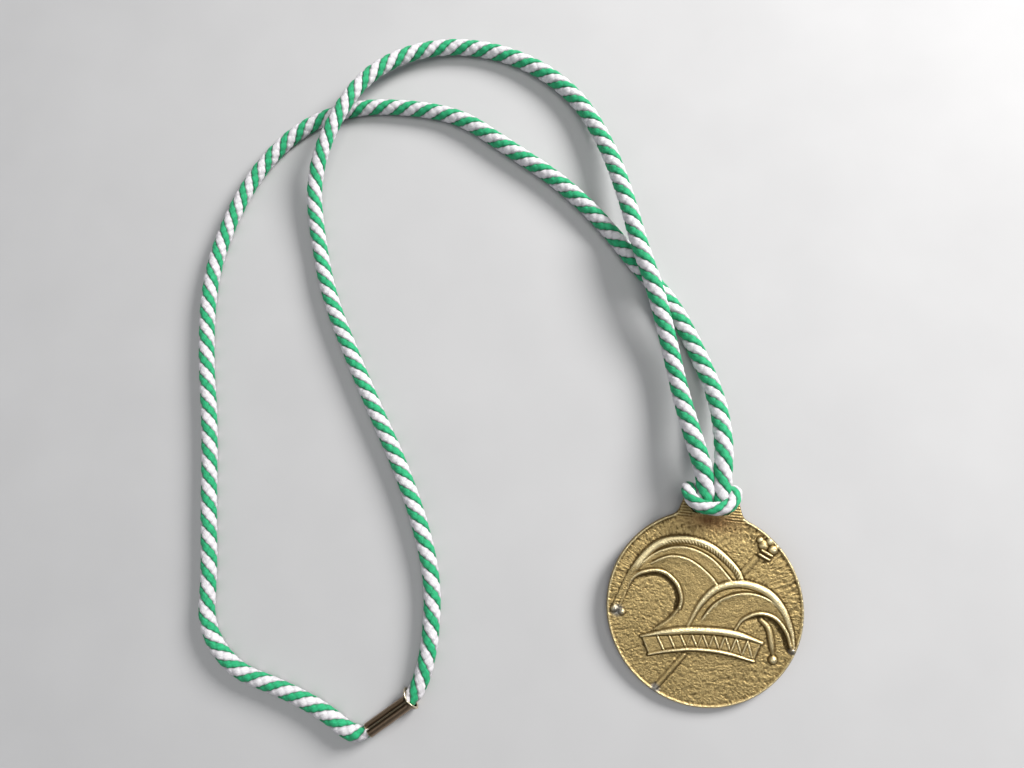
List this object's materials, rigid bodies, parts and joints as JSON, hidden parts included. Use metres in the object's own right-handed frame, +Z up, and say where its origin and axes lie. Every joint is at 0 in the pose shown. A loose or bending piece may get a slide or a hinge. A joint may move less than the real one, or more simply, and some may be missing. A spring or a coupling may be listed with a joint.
{
  "type": "medal",
  "caption": "Round cast medal with a jester's cap in low relief, hung by its slotted ear on a two-colour braided neck cord whose ends are joined in a crimped metal sleeve.",
  "frame": {"origin": "on the surface that the part lies on, under the middle of the medal's box", "axes": "+Y from the disc towards its ear, +Z up out of the medal's face, +X to the right when the ear points away"},
  "size_m": [0.194, 0.2231, 0.0134],
  "materials": {
    "antique_brass": "cast zinc alloy plated antique brass, satin, dark in the hollows and bright on the ridges",
    "braided_cord": "round braid of soft polyester yarn in green and white spiral stripes",
    "sleeve_metal": "thin rolled brass sheet, darkened, with bright rubbed edges"
  },
  "bodies": {
    "neck_cord": {"cord_left_run": "braided_cord", "cord_knot": "braided_cord", "cord_right_run": "braided_cord", "crimp_sleeve": "sleeve_metal"},
    "medal": {"medal_casting": "antique_brass"}
  },
  "joints": [
    {"name": "medal_swing", "type": "hinge", "parent": "neck_cord", "child": "medal", "pos_m": [0, 0.02829, 0.005], "axis": [-1, 0, 0], "range_deg": [0, 45]}
  ]
}
